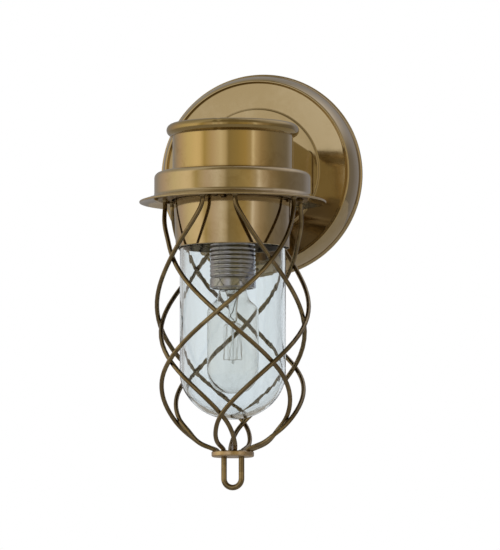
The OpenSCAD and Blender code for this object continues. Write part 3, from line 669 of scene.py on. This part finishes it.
disc = rounded([(0.0, -256.25, 0), (12.5, -256.25, 0.4), (17.9, -256.2, 0.9), (18.5, -257.2, 0.5),
                (18.45, -260.2, 0.8), (17.6, -261.0, 0.5), (0.0, -260.95, 0)])
verts, faces = lathe([tuple(p) for p in disc], 128)
piece("guard_disc", verts, faces, "guard", DISC_BRASS, ["cage_disc"])

bend_z = -290.0 + 2.5 + 7.7
loop = [(7.7, AXIS, -255.4), (7.7, AXIS, -262.0), (7.7, AXIS, -268.0), (7.7, AXIS, -274.0)]
loop += [(7.7 * math.cos(PI * k / 24), AXIS, bend_z - 7.7 * math.sin(PI * k / 24)) for k in range(25)]
loop += [(-x, y, z) for x, y, z in reversed(loop[:4])]
rivets = [joined([tube([(s * 7.7, AXIS, -256.2), (s * 7.7, AXIS, -255.4), (s * 7.7, AXIS, -254.8),
                        (s * 7.7, AXIS, -254.6)], [3.4, 3.1, 2.3, 1.2], 20)]) for s in (-1, 1)]
verts, faces = joined([tube(loop, 2.5, 20)] + rivets)
piece("guard_loop", verts, faces, "guard", WIRE_BRASS, ["cage_loop"])


# ---------- floor, light and camera ----------

floor_mesh = bpy.data.meshes.new("floor")
span, ground = 6.0, -1.6
floor_mesh.from_pydata([(-span, -span, ground), (span, -span, ground), (span, span, ground),
                        (-span, span, ground)], [], [(0, 1, 2, 3)])
floor = bpy.data.objects.new("floor", floor_mesh)
bpy.context.scene.collection.objects.link(floor)
floor_mat, ft = material("pale_floor")
tone = ft.noise(ft.node("TexCoord").outputs["Object"], 3.0, 3.0, 0.5)
finish_surface(ft, ft.node("BsdfPrincipled", {
    "Base Color": ft.mix(tone, (0.74, 0.73, 0.71), (0.80, 0.79, 0.78)),
    "Roughness": ft.ranged(tone, 0.3, 0.7, 0.6, 0.7)}).outputs["BSDF"])
floor_mesh.materials.append(floor_mat)

# The studio round the lantern: soft light and dark bands by direction, a paler ceiling, a dim floor.
# Angles are degrees round the vertical from the front (-Y), positive to the right.
world = bpy.data.worlds.new("studio")
bpy.context.scene.world = world
w = Tree(world)
direction = w.node("TexCoord").outputs["Generated"]
split = w.node("SeparateXYZ", {"Vector": direction})
azimuth = w.math("ARCTAN2", split.outputs[0], w.math("MULTIPLY", split.outputs[1], -1.0))
round_ = w.ranged(azimuth, -PI, PI)
lift = w.math("ARCSINE", split.outputs[2])


def bands(stops):
    return [((angle + 180.0) / 360.0, colour) for angle, colour in stops]


walls = w.ramp(round_, bands([
    (-180, (0.26, 0.25, 0.25)), (-140, (0.36, 0.33, 0.30)), (-112, (0.66, 0.54, 0.44)),
    (-86, (0.90, 0.80, 0.54)), (-64, (1.04, 0.90, 0.64)), (-56, (0.98, 0.84, 0.58)),
    (-46, (0.60, 0.49, 0.24)), (-29, (0.74, 0.63, 0.52)), (-13, (0.90, 0.84, 0.74)),
    (-4, (0.72, 0.64, 0.50)), (2, (0.38, 0.31, 0.17)), (18, (0.44, 0.35, 0.17)), (34, (0.54, 0.42, 0.20)),
    (44, (0.60, 0.50, 0.34)), (49, (0.98, 0.92, 0.84)), (55, (0.70, 0.60, 0.48)), (66, (0.46, 0.37, 0.25)),
    (85, (0.30, 0.25, 0.17)), (106, (0.26, 0.23, 0.20)), (135, (0.24, 0.22, 0.21)),
    (152, (0.32, 0.31, 0.34)), (180, (0.26, 0.25, 0.25))]))
ceiling = w.ramp(round_, bands([
    (-180, (0.34, 0.32, 0.30)), (-100, (0.50, 0.46, 0.36)), (-60, (0.66, 0.61, 0.50)),
    (-30, (0.34, 0.29, 0.19)), (0, (0.27, 0.225, 0.135)), (60, (0.27, 0.23, 0.15)),
    (105, (0.62, 0.60, 0.64)), (140, (0.80, 0.78, 0.84)), (180, (0.34, 0.32, 0.30))]))
ground_tone = w.ramp(round_, bands([
    (-180, (0.24, 0.23, 0.22)), (-90, (0.36, 0.34, 0.30)), (0, (0.22, 0.19, 0.14)), (90, (0.18, 0.16, 0.13)),
    (180, (0.24, 0.23, 0.22))]))
room = w.mix(w.ranged(lift, math.radians(14), math.radians(42), smooth=True), walls, ceiling)
room = w.mix(w.ranged(lift, math.radians(-2), math.radians(-24), smooth=True), room, ground_tone)
# what is seen through the glass has a pale backdrop behind it
behind = w.ranged(split.outputs[1], 0.72, 0.92, smooth=True)
rays = w.node("LightPath")
through = w.math("MULTIPLY", rays.outputs["Is Transmission Ray"], behind)
room = w.mix(through, room, (0.93, 0.96, 0.98))
room = w.mix(rays.outputs["Is Camera Ray"], room, (1.0, 1.0, 1.0))
sky = w.node("Background", {"Color": room, "Strength": 1.0})
w.link(sky.outputs["Background"], w.node("OutputWorld").inputs["Surface"])

# Camera: 9.75 degrees round to the right, looking up by 5.25 degrees, 6 m away, through a long lens
TURN, TILT, FAR = math.radians(9.75), math.radians(5.25), 6.0
ahead = Vector((-math.sin(TURN) * math.cos(TILT), math.cos(TURN) * math.cos(TILT), math.sin(TILT)))
right = Vector((math.cos(TURN), math.sin(TURN), 0.0))
target = Vector((0.0, AXIS * MM, -0.10241)) + right * 0.014957
camera_data = bpy.data.cameras.new("camera")
camera = bpy.data.objects.new("camera", camera_data)
camera_data.sensor_width = 36.0
camera_data.lens = 451.6
camera_data.clip_end = 60.0
camera.location = target - ahead * FAR
camera.rotation_euler = ahead.to_track_quat("-Z", "Y").to_euler()
bpy.context.scene.collection.objects.link(camera)
bpy.context.scene.camera = camera
bpy.context.scene.view_settings.view_transform = "Standard"
